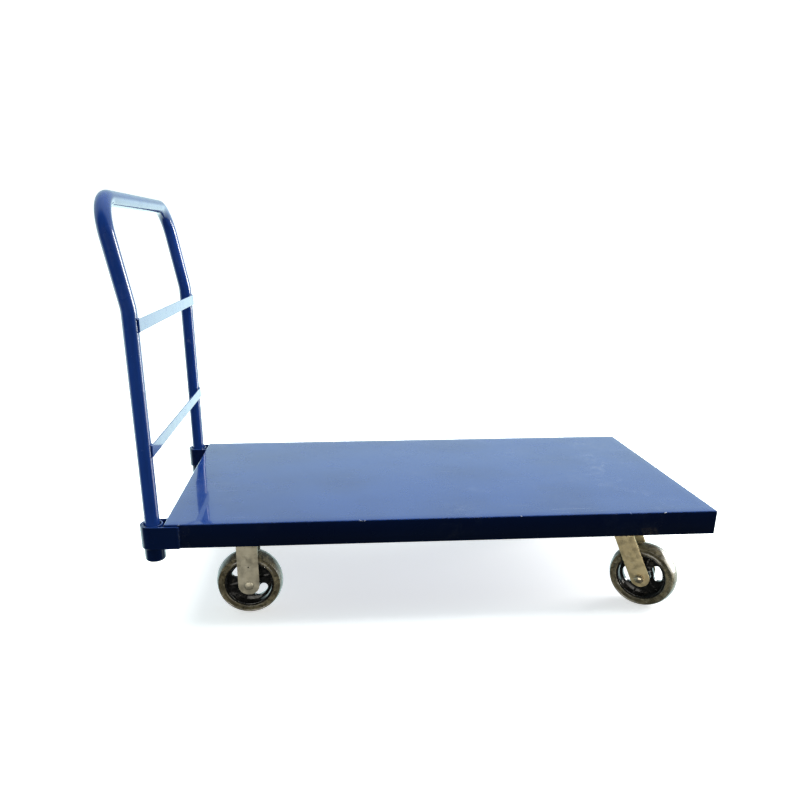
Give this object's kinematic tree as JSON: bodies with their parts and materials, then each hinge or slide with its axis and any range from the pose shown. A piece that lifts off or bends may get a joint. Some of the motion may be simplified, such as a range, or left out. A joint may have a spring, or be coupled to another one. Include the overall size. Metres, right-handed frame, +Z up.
{
  "type": "platform truck",
  "caption": "Steel platform truck: a skirted flat deck on rigid and swivelling wheels, with a bent-tube push handle that stands in end sockets and lifts out.",
  "frame": {"origin": "on the floor, under the middle of the cart's overall box", "axes": "+X along the deck away from the handle, +Y to the left of a person pushing, +Z up"},
  "size_m": [1.2994, 0.6218, 0.9218],
  "materials": {
    "blue_paint": "glossy dark royal blue enamel",
    "zinc_plate": "dull yellowish zinc plate on pressed steel",
    "bright_steel": "bright plated steel",
    "black_core": "black moulded wheel centre",
    "rubber_tyre": "dark rubber tread, dusty and scuffed"
  },
  "bodies": {
    "deck": {"axle_bushing_rigid_left": "bright_steel", "axle_bushing_rigid_right": "bright_steel", "axle_rivet_rigid_left": "bright_steel", "axle_rivet_rigid_right": "bright_steel", "ball_race_swivel_left": "zinc_plate", "ball_race_swivel_right": "zinc_plate", "cross_channel_handle_end": "blue_paint", "cross_channel_middle": "blue_paint", "cross_channel_swivel_end": "blue_paint", "deck_pan": "blue_paint", "fork_rigid_left": "zinc_plate", "fork_rigid_right": "zinc_plate", "kingpin_swivel_left": "bright_steel", "kingpin_swivel_right": "bright_steel", "plate_bolt_rigid_left_1": "bright_steel", "plate_bolt_rigid_left_2": "bright_steel", "plate_bolt_rigid_left_3": "bright_steel", "plate_bolt_rigid_left_4": "bright_steel", "plate_bolt_rigid_right_1": "bright_steel", "plate_bolt_rigid_right_2": "bright_steel", "plate_bolt_rigid_right_3": "bright_steel", "plate_bolt_rigid_right_4": "bright_steel", "plate_bolt_swivel_left_1": "bright_steel", "plate_bolt_swivel_left_2": "bright_steel", "plate_bolt_swivel_left_3": "bright_steel", "plate_bolt_swivel_left_4": "bright_steel", "plate_bolt_swivel_right_1": "bright_steel", "plate_bolt_swivel_right_2": "bright_steel", "plate_bolt_swivel_right_3": "bright_steel", "plate_bolt_swivel_right_4": "bright_steel", "socket_sleeve_left": "blue_paint", "socket_sleeve_right": "blue_paint", "socket_strap_left": "blue_paint", "socket_strap_right": "blue_paint", "top_plate_swivel_left": "zinc_plate", "top_plate_swivel_right": "zinc_plate"},
    "handle": {"handle_tube": "blue_paint", "crossbar_lower": "blue_paint", "crossbar_upper": "blue_paint"},
    "wheel_rigid_right": {"tyre_rigid_right": "rubber_tyre", "wheel_core_rigid_right": "black_core", "wheel_bearing_rigid_right": "bright_steel"},
    "wheel_swivel_right": {"tyre_swivel_right": "rubber_tyre", "wheel_core_swivel_right": "black_core", "wheel_bearing_swivel_right": "bright_steel"},
    "fork_swivel_right": {"fork_swivel_right": "zinc_plate", "axle_bolt_swivel_right": "bright_steel", "axle_nut_swivel_right": "bright_steel", "axle_bushing_swivel_right": "bright_steel"},
    "wheel_rigid_left": {"tyre_rigid_left": "rubber_tyre", "wheel_core_rigid_left": "black_core", "wheel_bearing_rigid_left": "bright_steel"},
    "wheel_swivel_left": {"tyre_swivel_left": "rubber_tyre", "wheel_core_swivel_left": "black_core", "wheel_bearing_swivel_left": "bright_steel"},
    "fork_swivel_left": {"fork_swivel_left": "zinc_plate", "axle_bolt_swivel_left": "bright_steel", "axle_nut_swivel_left": "bright_steel", "axle_bushing_swivel_left": "bright_steel"}
  },
  "joints": [
    {"name": "handle_lift", "type": "slide", "parent": "deck", "child": "handle", "axis": [0, 0, 1], "range_m": [0, 0.15]},
    {"name": "wheel_spin_rigid_right", "type": "hinge", "parent": "deck", "child": "wheel_rigid_right", "pos_m": [-0.40433, -0.21942, 0.0762], "axis": [0, 1, 0], "continuous": true},
    {"name": "wheel_spin_rigid_left", "type": "hinge", "parent": "deck", "child": "wheel_rigid_left", "pos_m": [-0.40433, 0.22258, 0.0762], "axis": [0, 1, 0], "continuous": true},
    {"name": "swivel_right", "type": "hinge", "parent": "deck", "child": "fork_swivel_right", "pos_m": [0.48467, -0.21942, 0.1823], "axis": [0, 0, 1], "continuous": true},
    {"name": "wheel_spin_swivel_right", "type": "hinge", "parent": "fork_swivel_right", "child": "wheel_swivel_right", "pos_m": [0.52265, -0.24878, 0.0762], "axis": [0.6115, 0.7912, 0], "continuous": true},
    {"name": "swivel_left", "type": "hinge", "parent": "deck", "child": "fork_swivel_left", "pos_m": [0.48467, 0.22258, 0.1823], "axis": [0, 0, 1], "continuous": true},
    {"name": "wheel_spin_swivel_left", "type": "hinge", "parent": "fork_swivel_left", "child": "wheel_swivel_left", "pos_m": [0.44117, 0.24286, 0.0762], "axis": [-0.4226, -0.9063, 0], "continuous": true}
  ]
}
